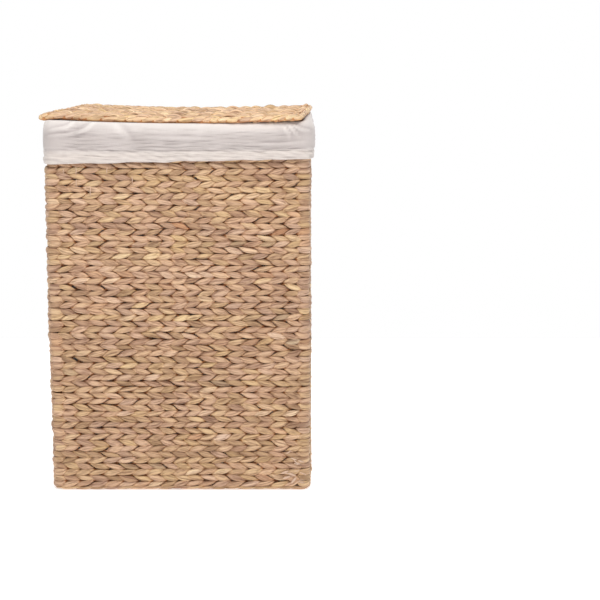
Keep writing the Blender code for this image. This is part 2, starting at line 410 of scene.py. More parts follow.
def noise(nodes, links, place, scale, detail, roughness=0.5):
    """Noise at a place, where scale is one number or a tuple with one for each axis."""
    if isinstance(scale, tuple):
        stretch = nodes.new("ShaderNodeVectorMath")
        stretch.operation = "MULTIPLY"
        stretch.inputs[1].default_value = scale
        links.new(place, stretch.inputs[0])
        place, scale = stretch.outputs[0], 1.0
    node = nodes.new("ShaderNodeTexNoise")
    node.inputs["Scale"].default_value = scale
    node.inputs["Detail"].default_value = detail
    node.inputs["Roughness"].default_value = roughness
    links.new(place, node.inputs["Vector"])
    return node.outputs["Fac"]


def bump(nodes, links, height, strength, distance, shader):
    node = nodes.new("ShaderNodeBump")
    node.inputs["Strength"].default_value = strength
    node.inputs["Distance"].default_value = distance
    links.new(height, node.inputs["Height"])
    links.new(node.outputs[0], shader.inputs["Normal"])


def new_material(name):
    made = bpy.data.materials.new(name)
    made.use_nodes = True
    nodes, links = made.node_tree.nodes, made.node_tree.links
    return made, nodes, links, nodes["Principled BSDF"]


# Colours of the stems, by tone; how a stem's hue changes them; blotches; fine streaks; and painted shade,
# darker where a strand dives between its neighbours
STEM_TONES = [
    (0.00, (0.36, 0.226, 0.143)),
    (0.25, (0.47, 0.308, 0.203)),
    (0.50, (0.56, 0.378, 0.254)),
    (0.75, (0.63, 0.442, 0.305)),
    (1.00, (0.72, 0.543, 0.398)),
]
STEM_HUES = [
    (0.00, (0.84, 0.68, 0.57)),
    (0.04, (0.99, 0.88, 0.80)),
    (0.11, (1.01, 0.94, 0.89)),
    (0.25, (0.94, 0.945, 1.02)),
    (0.40, (1.00, 0.965, 0.97)),
    (0.56, (1.00, 1.01, 0.95)),
    (0.78, (1.01, 1.03, 0.87)),
    (0.92, (0.90, 0.95, 0.92)),
    (1.00, (0.80, 0.86, 0.88)),
]
BLOTCHES = [(0.35, (0.62, 0.54, 0.49)), (0.47, (0.97, 0.935, 0.935)), (0.59, (1.13, 1.135, 1.06))]
STREAKS = [(0.33, (0.56, 0.46, 0.39)), (0.53, (1.06, 1.06, 1.06))]
# Painted shade: a strand is darker the deeper it lies between its neighbours
CREVICE_SHADE = [
    (0.00, (0.70, 0.43, 0.27)),
    (0.30, (0.88, 0.74, 0.61)),
    (0.55, (0.97, 0.93, 0.89)),
    (0.85, (1.02, 1.01, 1.0)),
]


def plant_material(name, tint):
    """Dried water hyacinth: stems of several tones, with fine streaks along them, and painted shade in the
    crevices.
    """
    made, nodes, links, shader = new_material(name)
    tone, hue, depth_for_shade = split_look(nodes, links)
    fibre = attribute(nodes, "fibre")
    streak = noise(nodes, links, fibre, (34, 700, 700), 3.0, 0.6)
    mottle = noise(nodes, links, fibre, (30, 330, 330), 2.0)

    tinted = [(at, tuple(c * k for c, k in zip(colour, tint))) for at, colour in STEM_TONES]
    colour = ramp(nodes, links, tone, tinted)
    for share, value, stops in (
        (1.0, hue, STEM_HUES),
        (0.95, mottle, BLOTCHES),
        (0.85, streak, STREAKS),
        # painted shade where the strand lies deep in the weave
        (1.0, depth_for_shade, CREVICE_SHADE),
    ):
        colour = mix_colour(nodes, links, share, colour, ramp(nodes, links, value, stops), "MULTIPLY")
    links.new(colour, shader.inputs["Base Color"])

    rough = maths(nodes, links, "MULTIPLY_ADD", streak, -0.25, 0.80)
    links.new(rough, shader.inputs["Roughness"])
    shader.inputs["Specular IOR Level"].default_value = 0.35
    shader.inputs["Sheen Weight"].default_value = 0.08
    bump(nodes, links, streak, 0.8, 0.0010, shader)
    return made


def cotton_material(name):
    """Unbleached cotton: a fine plain weave, soft mottling, a paler hem, a painted highlight on the fold, and
    painted light and shade on the creases.
    """
    made, nodes, links, shader = new_material(name)
    hem, fold_highlight, crease_shading = split_look(nodes, links)
    cloth = attribute(nodes, "fibre")
    soft = noise(nodes, links, cloth, 22.0, 3.0)
    threads = [noise(nodes, links, cloth, scale, 1.0) for scale in ((90, 1500, 90), (1500, 90, 90))]
    weave = maths(nodes, links, "ADD", *threads)

    colour = ramp(nodes, links, soft, [(0.30, (0.490, 0.438, 0.422)), (0.70, (0.560, 0.505, 0.489))])
    colour = mix_colour(nodes, links, hem, colour, (0.645, 0.578, 0.540))
    # Painted highlight on the fold over the rim
    colour = mix_colour(nodes, links, fold_highlight, colour, (0.78, 0.725, 0.695))
    # Painted light and shade on the creases: ridges paler, troughs darker
    crests = [(0.10, (0.87, 0.86, 0.87)), (0.48, (0.99, 0.99, 0.99)), (0.90, (1.09, 1.10, 1.10))]
    colour = mix_colour(nodes, links, 1.0, colour, ramp(nodes, links, crease_shading, crests), "MULTIPLY")
    specks = [(0.62, (0.93, 0.92, 0.91)), (1.10, (1.0, 1.0, 1.0))]
    colour = mix_colour(nodes, links, 0.8, colour, ramp(nodes, links, weave, specks), "MULTIPLY")
    links.new(colour, shader.inputs["Base Color"])
    shader.inputs["Roughness"].default_value = 0.92
    shader.inputs["Specular IOR Level"].default_value = 0.15
    shader.inputs["Sheen Weight"].default_value = 0.25
    shader.inputs["Sheen Roughness"].default_value = 0.6
    bump(nodes, links, weave, 0.35, 0.0004, shader)
    return made


def steel_material(name):
    """Dark lacquered wire, with slight wear."""
    made, nodes, links, shader = new_material(name)
    place = nodes.new("ShaderNodeTexCoord").outputs["Object"]
    wear = noise(nodes, links, place, 90.0, 4.0)
    colour = ramp(nodes, links, wear, [(0.40, (0.115, 0.068, 0.040)), (0.72, (0.20, 0.125, 0.075))])
    links.new(colour, shader.inputs["Base Color"])
    rough = ramp(nodes, links, wear, [(0.35, (0.35, 0.35, 0.35)), (0.75, (0.62, 0.62, 0.62))])
    links.new(rough, shader.inputs["Roughness"])
    shader.inputs["Metallic"].default_value = 0.15
    return made


WALL_STRANDS = plant_material("hyacinth_wall", (0.985, 0.983, 0.975))
# The lid's strands take the wall's colours made paler: painted light, for the lid's top faces the lamp
LIT_LID_STRANDS = plant_material("hyacinth_lid_painted_light", (1.31, 1.39, 1.37))
FRAYED = plant_material("hyacinth_frayed", (1.12, 1.26, 1.40))
COTTON = cotton_material("unbleached_cotton")
STEEL = steel_material("lacquered_wire")


# The twined wall


def wall():
    """The four sides, as pieces of a few rows each."""
    stations = wall_stations()
    _, at = rounded_path(CENTRE_X, CENTRE_Y, CENTRE_RADIUS)
    count = len(stations) - 1
    weave = Weave(0.0037, 0.0060, 0.0035, 0.0029, sides=8, samples=8, uneven=0.11)
    t = np.arange(count * weave.samples) / weave.samples
    posts = np.array([0, STAKES_X, STAKES_X + STAKES_Y, 2 * STAKES_X + STAKES_Y, count])
    from_post = np.abs(t[:, None] - posts).min(1)
    weave.full = 0.60 * smoothstep(0.60, 0.30, from_post)
    rng = np.random.default_rng(11)
    edges = row_edges(rng, ROWS_LOW, ROWS_HIGH, ROWS, t / count, ROW_JITTER, ROW_WANDER)
    # The lowest row lifts off the border near the right end of the front.
    edges[0] += 0.0058 * np.exp(-(((t - STAKES_X + 0.55) / 0.24) ** 2))
    shared = 0.10 * waves(rng, t / count, 5, 2, 7)
    pieces = []
    for first in range(0, ROWS, ROWS_IN_PIECE):
        bundle = Bundle()
        for row in range(first, min(first + ROWS_IN_PIECE, ROWS)):
            height = (edges[row] + edges[row + 1]) / 2
            squeeze = (edges[row + 1] - edges[row]) / ((ROWS_HIGH - ROWS_LOW) / ROWS)
            belly = 0.0004 * waves(rng, t / count, 5, 1, 8) + rng.normal(0, 0.00025)
            slide = shared + rng.normal(0, 0.07) + 0.05 * waves(rng, t / count, 4, 2, 8)
            slide *= 0.35 + 0.65 * smoothstep(0, 2.5, from_post)
            slide += rng.normal(0, 0.06)

            def place(t, depth, rise):
                x, y, nx, ny = at(np.interp(t + slide, np.arange(count + 1), stations))
                z = height + rise * squeeze
                # The left side bulges a little below the hem.
                left = smoothstep(0.1, -0.8, nx) * smoothstep(0.560, 0.548, z)
                out = depth + belly + 0.0004 + left * (0.0018 + 0.0024 * smoothstep(0.05, 0.30, z))
                x, y = x + nx * out, y + ny * out
                z = z - sag(x) * rim_share(z)
                return np.stack([x, y, z], axis=1), np.stack([nx, ny, np.zeros_like(x)], axis=1)

            for phase in (0, 1):
                twined(bundle, rng, weave, t, phase, 1 if row % 2 == 0 else -1, place, True)
        pieces.append(bundle.build(f"wicker_rows_{first // ROWS_IN_PIECE + 1:02d}", WALL_STRANDS))
    return pieces


# Mats for the floor and the lid, strands round a rod, and wires


def mat(name, rng, half_x, half_y, middle, rows, weave, finish, bend, turn, parts):
    """A flat twined mat: rows run along X, and stakes run front to back."""
    pitch = 2 * half_x / STAKES_X
    t = np.linspace(0, STAKES_X, STAKES_X * weave.samples + 1)
    edges = row_edges(rng, -half_y, half_y, rows, t / STAKES_X, ROW_JITTER, ROW_WANDER)
    pieces = []
    per_piece = math.ceil(rows / parts)
    for first in range(0, rows, per_piece):
        bundle = Bundle()
        for row in range(first, min(first + per_piece, rows)):
            across = (edges[row] + edges[row + 1]) / 2
            squeeze = (edges[row + 1] - edges[row]) / (2 * half_y / rows)
            slide = rng.normal(0, 0.08) * smoothstep(0, 2, t) * smoothstep(0, 2, STAKES_X - t)
            lift = 0.15 * weave.front_deep * (rng.normal() + waves(rng, t / STAKES_X, 5, 1, 7))

            def place(t, depth, rise):
                x, y, dz = bend((t + slide) * pitch - half_x, across + rise * squeeze)
                z = middle + depth + lift + dz
                zero = np.zeros_like(x)
                return np.stack([*turned(x, y, turn), z], axis=1), np.stack([zero, zero, zero + 1], axis=1)

            for phase in (0, 1):
                twined(bundle, rng, weave, t, phase, 1 if row % 2 else -1, place, False)
        suffix = f"_{first // per_piece + 1}" if parts > 1 else ""
        pieces.append(bundle.build(name + suffix, finish))
    return pieces


def wrapped(bundle, rng, path, total, reach, middle, pitch, strand, sides, samples, bend):
    """A strand wound round a rod that follows a closed path: reach is how far out it comes."""
    wide_half, deep = strand
    turns = int(round(total / pitch))
    t = np.arange(turns * samples) / samples
    drift = 0.10 * waves(rng, t / turns, 6, 3, 20)
    x, y, nx, ny = path((t + drift) / turns * total)
    angle = -TAU * t
    swell = 1 + lobe_values(rng, turns, t, 0.12)
    wide, high = rounded(np.cos(angle), 0.8), rounded(np.sin(angle), 0.8)
    out = (reach - deep) * wide
    x, y, dz = bend(x + nx * out, y + ny * out)
    centre = np.stack([x, y, middle + (reach - deep) * high + dz], axis=1)
    normal = np.stack([nx * wide / reach, ny * wide / reach, high / reach], axis=1)
    outward, side = across_strand(closed_steps(centre), normal)
    around = TAU * np.arange(sides) / sides
    ridge = 1 + 0.05 * rng.normal(size=sides)
    half = wide_half * swell
    across, thick = half[:, None] * np.cos(around), deep * np.sin(around)
    high_grid = np.broadcast_to(thick * ridge, across.shape)
    points = tube(centre, side, outward, across * ridge, high_grid)
    # Painted shade on the sides and inner face of the wound strand
    depth_for_shade = np.clip(0.70 + 0.4 * np.sin(around) - 0.72 * np.abs(np.cos(around)) ** 3, 0, 1)
    tone, hue = tone_of(rng, turns, t, 0)
    looks = on_grid(across.shape, tone[:, None], hue[:, None], depth_for_shade)
    gone = np.arange(len(t)) * 0.004
    start = rng.random(3) * 7
    fibres = on_grid(
        across.shape,
        (gone + start[0])[:, None],
        across + start[1],
        half[:, None] * np.sin(around) * 0.6 + start[2],
    )
    bundle.add(points, True, looks, fibres)


def wire(bundle, path, radius, closed):
    """A round wire along a path of points."""
    along = closed_steps(path) if closed else np.gradient(path, axis=0)
    out, side = across_strand(along, np.array([0, 0, 1.0]))
    reach = np.full((len(path), 1), radius)
    if not closed:  # taper the ends
        reach[[0, -1]] *= 0.2
    around = TAU * np.arange(WIRE_SIDES) / WIRE_SIDES
    points = tube(path, side, out, reach * np.cos(around), reach * np.sin(around))
    plain = np.zeros((len(path) * WIRE_SIDES, 3))
    bundle.add(points, closed, plain, plain)


def flat_bend(x, y):
    return x, y, np.zeros_like(x)


def rim_bend(x, y):
    return x, y, -sag(x)


def lid_bend(x, y):
    """The lid's own shape, before it is turned: it hangs with the rim, and no corner is quite true."""
    corner = smoothstep(0.10, 0.23, x) * smoothstep(0.08, 0.17, np.abs(y))
    lift = 0.0010 * corner * np.where(y > 0, 1.4, 1.0)
    skew = smoothstep(0.10, -0.21, x) * np.where(y < 0, 0.0085, 0.0042) * np.clip(-y / 0.15, -1, 1)
    droop = 0.0020 * smoothstep(-0.198, -0.216, x) * smoothstep(-0.11, -0.16, y)
    return x - skew, y, -sag(x) + lift - droop


def in_lid(x, y):
    """Points of the lid's middle layer, bent and turned as the lid is."""
    x, y, dz = lid_bend(x, y)
    return np.stack([*turned(x, y, LID_TURN), LID_MIDDLE + dz], axis=1)


# The liner

# Its section from the edge of the bag's floor up, over the rim and down: distance outside the wicker, height,
# and how much of that height counts from the hem's slanting lower edge
LINER_SECTION = [
    (-0.0260, BAG_FLOOR, 0),
    (-0.0200, BAG_FLOOR + 0.0006, 0),
    (-0.0162, BAG_FLOOR + 0.0050, 0),
    (-0.0158, 0.10, 0),
    (-0.0158, 0.30, 0),
    (-0.0156, 0.50, 0),
    (-0.0152, 0.600, 0),
    (-0.0150, 0.6245, 0),
    (-0.0136, 0.6278, 0),
    (-0.0105, 0.6296, 0),
    (-0.0065, 0.6300, 0),
    (-0.0028, 0.6299, 0),
    (0.0004, 0.6288, 0),
    (0.0020, 0.6266, 0),
    (0.0032, 0.6220, 0),
    (0.0041, 0.6150, 0),
    (0.0046, 0.6070, 0),
    (0.0048, 0.6000, 0),
    (0.0048, 0.5900, 0),
    (0.0040, 0.5790, 0.5),
    (0.0036, 0.5750, 1),
    (0.0044, 0.5730, 1),
    (0.0050, 0.5700, 1),
    (0.0049, 0.5660, 1),
    (0.0043, 0.5626, 1),
    (0.0030, 0.5616, 1),
    (0.0014, 0.5626, 1),
    (0.0011, 0.5670, 1),
    (0.0011, 0.5735, 1),
]
# How far the cuff's front and back stand out at a height, as a share: fullest a third of the way down, so
# that the cloth faces up above and down below
FULL_AT = (0.560, 0.575, 0.588, 0.602, 0.612, 0.620, 0.6275)
FULLNESS = (0.62, 0.72, 0.86, 1, 0.84, 0.5, 0)
# Folds on the cuff's front: the line of each in x and z, its width, its height and its steeper side
FOLDS = [
    (
        [(-0.138, 0.6255), (-0.150, 0.6185), (-0.164, 0.6130), (-0.182, 0.6085), (-0.207, 0.6060)],
        0.0023,
        0.0042,
        -1,
    ),
    ([(-0.172, 0.6245), (-0.182, 0.6190), (-0.206, 0.6158)], 0.0020, 0.0026, -1),
    ([(-0.105, 0.6235), (-0.086, 0.6120), (-0.078, 0.6030)], 0.0060, 0.0016, 1),
    ([(-0.070, 0.6060), (-0.010, 0.6068), (0.060, 0.6050)], 0.0030, 0.0015, 1),
    ([(0.184, 0.6245), (0.193, 0.6160), (0.199, 0.6085)], 0.0026, 0.0046, 1),
    ([(0.190, 0.6255), (0.202, 0.6190), (0.212, 0.6150)], 0.0024, 0.0040, 1),
    ([(0.176, 0.6225), (0.184, 0.6130), (0.186, 0.6050)], 0.0028, 0.0030, 1),
    ([(0.120, 0.5960), (0.165, 0.5930), (0.207, 0.5965)], 0.0030, 0.0016, 1),
    ([(0.150, 0.5790), (0.185, 0.5800), (0.215, 0.5840)], 0.0028, 0.0016, 1),
    ([(-0.060, 0.5800), (0.010, 0.5770), (0.075, 0.5790)], 0.0028, 0.0014, 1),
    ([(-0.200, 0.5790), (-0.150, 0.5775), (-0.100, 0.5790)], 0.0028, 0.0013, 1),
]
FLOOR_RINGS = (0.93, 0.85, 0.72, 0.56, 0.38, 0.20, 0.06)  # sizes of the rings that close the bag's floor


def liner_rows():
    """The section in fine steps: cloth length, distance outside the wicker, height and share of the slant."""
    section = np.array(LINER_SECTION)
    steps = np.concatenate([[0], np.cumsum(np.linalg.norm(np.diff(section[:, :2], axis=0), axis=1))])
    fine = []
    for k in range(len(section) - 1):
        length = steps[k + 1] - steps[k]
        spacing = 0.014 if section[k, 1] < 0.5 and section[k, 0] < 0 else 0.0012
        n = max(1, int(round(length / spacing)))
        fine.append(steps[k] + length * np.arange(n) / n)
    v = np.concatenate(fine + [[steps[-1]]])
    offset, height, slant = (np.interp(v, steps, section[:, i]) for i in range(3))
    for _ in range(3):  # ease the corners of the section
        for a in (offset, height):
            a[1:-1] = 0.25 * a[:-2] + 0.5 * a[1:-1] + 0.25 * a[2:]
    return v, offset, height, slant


def fold(x, z, line, width, amount, steeper):
    """A fold that follows a line of (x, z) points, with a trough along its steeper flank."""
    line = np.array(line)
    best = np.full(z.shape, 1e9)
    side, along = np.zeros(z.shape), np.zeros(z.shape)
    for k in range(len(line) - 1):
        a, d = line[k], line[k + 1] - line[k]
        f = np.clip(((x - a[0]) * d[0] + (z - a[1]) * d[1]) / (d @ d), 0, 1)
        dx, dz = x - a[0] - f * d[0], z - a[1] - f * d[1]
        dist = np.hypot(dx, dz)
        near = dist < best
        best = np.where(near, dist, best)
        side = np.where(near, np.sign(d[0] * dz - d[1] * dx), side)
        along = np.where(near, (k + f) / (len(line) - 1), along)
    ends = np.sin(np.pi * np.clip(0.04 + 0.92 * along, 0, 1)) ** 0.6
    steep = side * steeper > 0
    crest = np.exp(-((best / np.where(steep, width * 0.55, width * 1.5)) ** 2))
    trough = np.where(steep, np.exp(-(((best - width * 1.3) / (width * 0.6)) ** 2)), 0)
    return amount * (crest - 0.32 * trough) * ends


def liner():
    """Bag, fold over the rim, cuff and doubled hem, as one piece of cloth."""
    rng = np.random.default_rng(5)
    v, offset, height, slant = liner_rows()
    total, at = rounded_path(HALF_X, HALF_Y, CORNER)
    s = np.arange(LINER_COLUMNS) / LINER_COLUMNS * total
    x0, y0, nx, ny = at(s)
    w = v[:, None]
    down = w - v[np.argmax(height)]  # cloth length below the top of the fold, on the cuff side
    out = np.repeat(offset[:, None], LINER_COLUMNS, 1)
    # The hem's lower edge slants, higher on the right.
    z = np.repeat(height[:, None], LINER_COLUMNS, 1)
    z = z + slant[:, None] * 0.0045 * np.clip(x0 / HALF_X, -1, 1)[None, :]
    u, px, py = (np.broadcast_to(a[None, :], z.shape) for a in (s, x0, y0))
    pz = z
    cuff = smoothstep(0.006, 0.020, down) * (1 - smoothstep(0.046, 0.058, down))
    on_cuff = smoothstep(0.001, 0.010, down)

    def around(low, high, count):
        """Noise round the basket."""
        return waves(rng, s / total, count, low, high)[None, :]

    # Soft creases along the cuff, and a slack belly that is fuller on the right
    creases = 0.00042 * field(rng, px + 3.1 * py, pz, 9, 0.16, 0.016)
    creases += 0.00032 * field(rng, px - 2.3 * py, pz, 8, 0.07, 0.009)
    creases += 0.00034 * field(rng, px, pz, 10, 0.07, 0.0050) * (1 + smoothstep(0.03, 0.05, down))
    belly = 0.0004 * around(1, 6, 4) + 0.0011 * smoothstep(-0.1, 0.22, x0)[None, :]
    corner = np.minimum(np.abs(nx), np.abs(ny)) * math.sqrt(2) > 0.02
    near_corner = np.convolve(np.tile(corner, 3), np.ones(17) / 17, "same")[LINER_COLUMNS : 2 * LINER_COLUMNS]
    calm = np.clip(1 - 2.6 * near_corner, 0, 1)
    fullness = np.interp(pz, FULL_AT, FULLNESS)
    out = out + 0.0034 * fullness * on_cuff * smoothstep(0.3, 0.9, np.abs(ny))[None, :]
    relief = cuff * creases * calm[None, :]
    out = out + relief + cuff * belly
    # Where the lid is set back, the fold stands up in front of its edge.
    beside_lid = smoothstep(0.105, 0.015, x0) * smoothstep(-0.6, -0.9, ny)
    puff = np.exp(-(((down - 0.0110) / 0.0052) ** 2)) * beside_lid[None, :]
    z = z + 0.0040 * puff
    out = out + 0.0016 * puff
    # Puckers where the elastic gathers the hem, and gathers that run along it
    out = out + 0.00022 * (around(60, 150, 8) * smoothstep(0.044, 0.060, down) * (slant[:, None] > 0))
    in_hem = smoothstep(0.046, 0.052, down) * (slant[:, None] > 0)
    gathers = 0.00050 * in_hem * field(rng, px + 2.0 * py, pz, 12, 0.045, 0.0040)
    out = out + gathers
    z = z + 0.00035 * around(8, 40, 8) * smoothstep(0.045, 0.058, down)
    front = (ny < -0.5)[None, :] * (offset[:, None] > 0)
    folds = sum(fold(px, pz, *row) for row in FOLDS) * front
    out = out + folds
    relief = 0.28 * relief + 0.9 * gathers + folds

    # Slack folds inside the bag, where the cloth stands off the wicker
    inside = smoothstep(0.02, 0.12, w) * (1 - smoothstep(-0.035, -0.006, down))
    slack = np.abs(field(rng, u, z, 10, 0.075, 0.42)) * 0.0026
    slack += np.abs(field(rng, u, z, 8, 0.20, 0.13)) * 0.0012
    out = out - inside * slack

    x = x0[None, :] + nx[None, :] * out
    y = y0[None, :] + ny[None, :] * out
    z = z - sag(x) * np.where(offset[:, None] > 0, smoothstep(0.565, 0.625, z), rim_share(z))
    z = z + 0.0006 * slant[:, None]
    points = np.stack([x, y, z], axis=-1).reshape(-1, 3)

    # The hem is paler. The fold over the rim gets a painted highlight, weaker at its right end and fading
    # below. Ridges get painted highlights and troughs painted shade, against the cloth around them.
    hem = smoothstep(0.0500, 0.0600, down)
    fold_highlight = smoothstep(0.030, 0.004, down) * smoothstep(-0.10, -0.02, down)
    fold_highlight = fold_highlight * (1 - 0.5 * smoothstep(0.165, 0.215, x0))[None, :]
    level = relief
    for _ in range(14):
        for axis in (0, 1):
            level = (level + np.roll(level, 1, axis) + np.roll(level, -1, axis)) / 3
    # Painted light and shade: ridges paler and troughs darker than the smoothed cloth around them
    crease_shading = np.clip(0.5 + (relief - level) / 0.0018, 0, 1)
    looks = on_grid(z.shape, hem, fold_highlight, crease_shading)
    places = on_grid(z.shape, u, w, 0)
    quads = grid_quads(len(v), LINER_COLUMNS, False)[:, ::-1]

    # Floor of the bag: rings closing towards the middle
    first, centre, base = points[:LINER_COLUMNS], np.array([0, 0, BAG_FLOOR]), len(points)
    rings = []
    for share in FLOOR_RINGS:
        ring = centre + (first - centre) * share
        lump = 0.0009 * field(rng, ring[:, 0], ring[:, 1], 9, 0.06, 0.06)
        ring[:, 2] = BAG_FLOOR + np.abs(lump)
        rings.append(ring)
    points = np.concatenate([points] + rings)
    looks = np.concatenate([looks, np.zeros((len(points) - base, 3)) + (0, 0, 0.5)])
    places = np.concatenate([places] + [ring * (1, 1, 0) + (0, 0, 3.0) for ring in rings])
    added = base + np.arange(len(rings) * LINER_COLUMNS).reshape(len(rings), LINER_COLUMNS)
    floor_rings = np.concatenate([[np.arange(LINER_COLUMNS)], added])
    for a, b in zip(floor_rings, floor_rings[1:]):
        quads = np.concatenate([quads, np.stack([a, np.roll(a, -1), np.roll(b, -1), b], axis=1)])
    obj = make_mesh("liner_cloth", points, quads, {"look": looks, "fibre": places}, COTTON)
    close_hole(obj, floor_rings[-1])
    thick = obj.modifiers.new("cloth", "SOLIDIFY")
    thick.thickness = 0.0007
    thick.offset = 0
    return obj


def close_hole(obj, rim):
    """Fills a ring of points with one face and makes all faces agree."""
    work = bmesh.new()
    work.from_mesh(obj.data)
    work.verts.ensure_lookup_table()
    face = work.faces.new([work.verts[int(i)] for i in rim])
    face.smooth = True
    bmesh.ops.recalc_face_normals(work, faces=work.faces)
    work.to_mesh(obj.data)
    work.free()


# Loose fibres


def fibre(bundle, points, radius, flat, pale):
    """A loose fibre along a few points: flat is its thickness as a share of its width, and pale its tone."""
    line = np.array(points)
    at = np.linspace(0, len(line) - 1, 4 * len(line))
    path = np.stack([np.interp(at, np.arange(len(line)), line[:, i]) for i in range(3)], axis=1)
    for _ in range(3):
        path[1:-1] = 0.25 * path[:-2] + 0.5 * path[1:-1] + 0.25 * path[2:]
    out, side = across_strand(np.gradient(path, axis=0), np.array([0, -1.0, 0]))
    around = TAU * np.arange(FIBRE_SIDES) / FIBRE_SIDES
    thin = (radius * np.sin(np.pi * np.linspace(0.03, 0.97, len(path))) ** 0.4)[:, None]
    rings = tube(path, side, out, thin * np.cos(around), thin * flat * np.sin(around))
    shape = (len(path), FIBRE_SIDES)
    bundle.add(rings, False, on_grid(shape, pale, 0.4, 1.0), on_grid(shape, at[:, None] * 0.002, 0, 0))


def loose_fibres():
    """Frayed ends at the lower right, and strings that bind the rows near the upper left."""
    rng = np.random.default_rng(31)
    face = -HALF_Y - 0.0019
    bundle = Bundle()
    half = 0.0065
    for x, z, lean in (
        (0.1765, 0.0325, 0.35),
        (0.1795, 0.0235, 0.30),
        (0.1885, 0.0285, -0.35),
        (0.1915, 0.0185, 0.90),
    ):
        points = [
            (x + half * f * math.cos(lean), face - 0.0008 * (1 - f * f), z + half * f * math.sin(lean))
            for f in (-1, -0.5, 0, 0.5, 1)
        ]
        fibre(bundle, points, 0.0021, 0.35, 0.72)
    # Least and greatest width, how many, least and greatest length, and thickness share
    for low, high, count, short, long, flat in (
        (0.0016, 0.0026, 8, 0.008, 0.013, 0.40),
        (0.0004, 0.0008, 18, 0.005, 0.013, 1.0),
    ):
        for _ in range(count):
            x, z = rng.uniform(0.180, 0.208), rng.uniform(0.012, 0.070)
            lean = rng.uniform(0.1, 0.6) * rng.choice([-1, 1])
            length, bow = rng.uniform(short, long), rng.uniform(-0.15, 0.15)
            points = []
            for k in range(5):
                f = k / 4 - 0.5
                dx, dz = turned(length * f, bow * length * (0.25 - f * f) * 4, lean)
                points.append((x + dx, face - 0.0010 + 0.0022 * abs(f), z + dz))
            fibre(bundle, points, rng.uniform(low, high) / 2, flat, rng.uniform(0.62, 0.88))
    for x, top, length in (
        (-0.169, 0.554, 0.014),
        (-0.169, 0.533, 0.013),
        (-0.146, 0.521, 0.015),
        (-0.118, 0.553, 0.010),
        (-0.076, 0.538, 0.012),
        (-0.190, 0.550, 0.008),
    ):
        points = [(x + rng.normal(0, 0.0004), face, top - length * k / 4) for k in range(5)]
        fibre(bundle, points, rng.uniform(0.0006, 0.0009), 0.6, 0.72)
    return bundle.build("loose_fibres", FRAYED)


# Build everything

wall_pieces = wall()
for piece in wall_pieces:
    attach(piece, "basket")
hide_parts("woven_wall")

rng = np.random.default_rng(23)  # shared by the rim, the floor, the base and the lid, in this order
rim_total, rim_at = rounded_path(CENTRE_X, CENTRE_Y, CENTRE_RADIUS)
bundle = Bundle()
wrapped(
    bundle,
    rng,
    rim_at,
    rim_total,
    reach=0.0063,
    middle=0.6216,
    pitch=0.0085,
    strand=(0.0050, 0.0014),
    sides=6,
    samples=14,
    bend=rim_bend,
)
rim = bundle.build("rim_binding", WALL_STRANDS)
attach(rim, "basket")
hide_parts("rim_wrap")

bundle = Bundle()
rod_x, rod_y, _, _ = rim_at(np.linspace(0, rim_total, 320, endpoint=False))
rod_z = RIM - ROD_BELOW_RIM - sag(rod_x)
wire(bundle, np.stack([rod_x, rod_y, rod_z], axis=1), ROD_RADIUS, True)
top_rod = bundle.build("top_rod", STEEL)
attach(top_rod, "basket")
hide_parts("frame_top_ring")

base_weave = Weave(0.0016, 0.0028, 0.0050, 0.0044, sides=10, samples=6, full=0.3)
base_t = np.arange(2 * (STAKES_X + STAKES_Y) * base_weave.samples) / base_weave.samples


def along_base(t, depth, rise):
    """The border under the lowest row."""
    x, y, nx, ny = rim_at(t / (base_t[-1] + 1 / base_weave.samples) * rim_total)
    centre = np.stack([x + nx * depth, y + ny * depth, 0.0042 + rise], axis=1)
    return centre, np.stack([nx, ny, np.zeros_like(x)], axis=1)


bundle = Bundle()
for phase in (0, 1):
    twined(bundle, rng, base_weave, base_t, phase, 1, along_base, True)
base = bundle.build("base_binding", WALL_STRANDS)
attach(base, "basket")
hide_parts("base_wrap")

floor_mats = mat(
    "floor_rows",
    rng,
    HALF_X - WALL - 0.0003,
    HALF_Y - WALL - 0.004,
    FLOOR_MIDDLE,
    FLOOR_ROWS,
    Weave(0.0024, 0.0056, 0.0021, 0.0019, sides=6, samples=6),
    WALL_STRANDS,
    flat_bend,
    turn=0,
    parts=1,
)
for piece in floor_mats:
    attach(piece, "basket")
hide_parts("floor_mat")

lid_mats = mat(
    "lid_rows",
    rng,
    LID_HALF_X - 0.007,
    LID_HALF_Y - 0.008,
    LID_MIDDLE,
    LID_ROWS,
    Weave(0.0031, 0.0057, 0.0027, 0.0020, sides=8, samples=8, uneven=0.40),
    LIT_LID_STRANDS,
    lid_bend,
    LID_TURN,
    parts=2,
)
for piece in lid_mats:
    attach(piece, "lid")
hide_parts("lid_mat")

lid_total, lid_at = rounded_path(LID_HALF_X - 0.005, LID_HALF_Y - 0.005, 0.0085)
edge_weave = Weave(0.0008, 0.0050, 0.0043, 0.0038, sides=10, samples=8, full=0.40)
edge_t = np.arange(LID_EDGE_TURNS * edge_weave.samples) / edge_weave.samples
edge_slide = 0.25 * waves(rng, edge_t / LID_EDGE_TURNS, 8, 5, 25)


def along_lid(t, depth, rise):
    """The lid's border: a twined pair whose row faces out and up."""
    x, y, nx, ny = lid_at((t + edge_slide) / LID_EDGE_TURNS * lid_total)
    c, s = math.cos(LID_EDGE_TILT), math.sin(LID_EDGE_TILT)
    out, up = depth * c - rise * s, depth * s + rise * c
    centre = in_lid(x + nx * out, y + ny * out)
    centre[:, 2] += up
    out_x, out_y = turned(nx, ny, LID_TURN)
    return centre, np.stack([out_x * c, out_y * c, np.full_like(x, s)], axis=1)


bundle = Bundle()
for phase in (0, 1):
    twined(bundle, rng, edge_weave, edge_t, phase, 1, along_lid, True)
lid_edge = bundle.build("lid_binding", LIT_LID_STRANDS)
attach(lid_edge, "lid")
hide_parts("lid_border")

